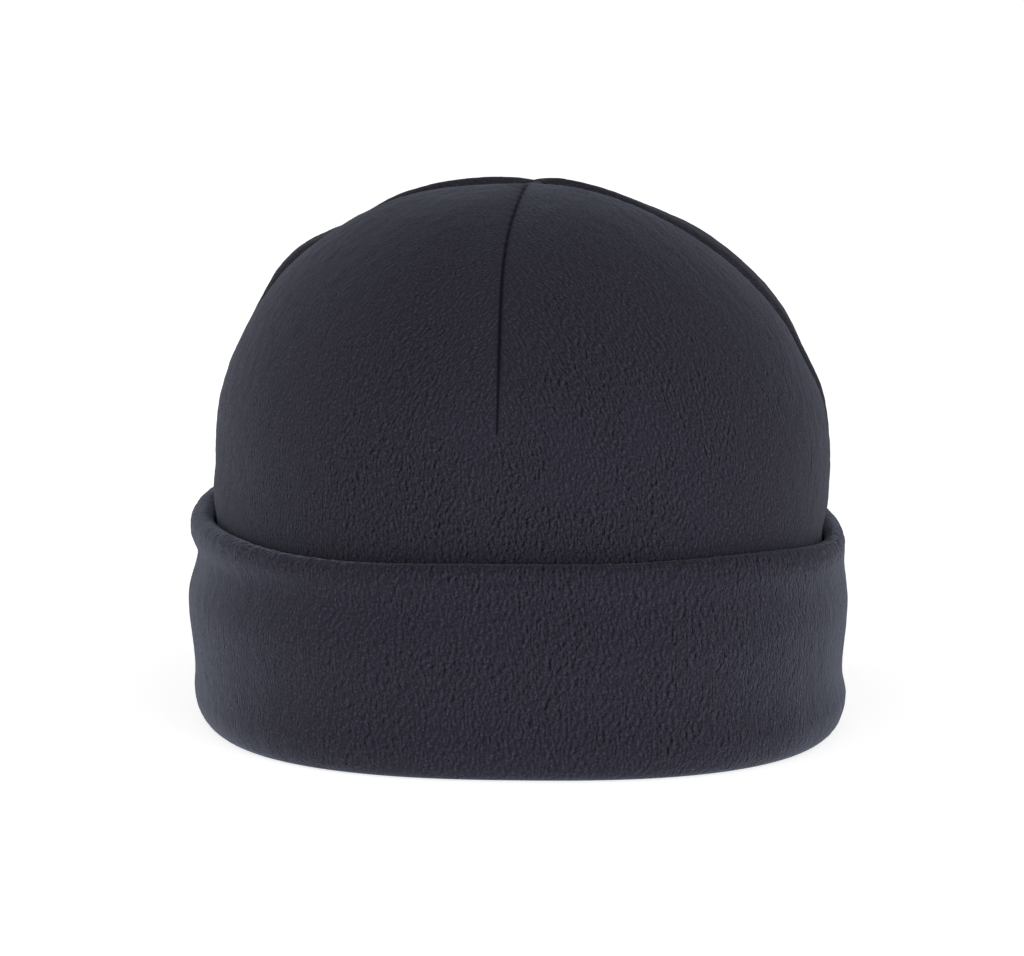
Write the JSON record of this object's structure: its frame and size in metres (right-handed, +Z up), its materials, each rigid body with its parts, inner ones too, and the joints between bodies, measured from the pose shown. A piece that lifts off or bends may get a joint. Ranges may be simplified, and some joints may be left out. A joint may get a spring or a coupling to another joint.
{
  "type": "cuffed fleece beanie",
  "caption": "Dark fleece beanie with a domed crown shaped by sewn darts and a wide turned-up cuff of doubled fleece, open below and standing on its lower fold.",
  "frame": {"origin": "on the resting plane, under the middle of the hat", "axes": "+Z up through the top, -Y towards the front of the hat, +X to the right seen from the front"},
  "size_m": [0.1919, 0.2138, 0.1557],
  "materials": {
    "crown_fleece": "brushed, lightly pilled fleece, dark blue-grey",
    "cuff_fleece": "brushed fleece with a coarser pebbled pile, dark blue-grey",
    "inside_fleece": "brushed fleece edge with overlocked thread, dark blue-grey"
  },
  "bodies": {
    "root": {"crown": "crown_fleece", "cuff": "cuff_fleece", "front_dart_allowance": "inside_fleece", "right_dart_allowance": "inside_fleece", "left_dart_allowance": "inside_fleece", "back_seam_allowance": "inside_fleece"}
  },
  "joints": []
}
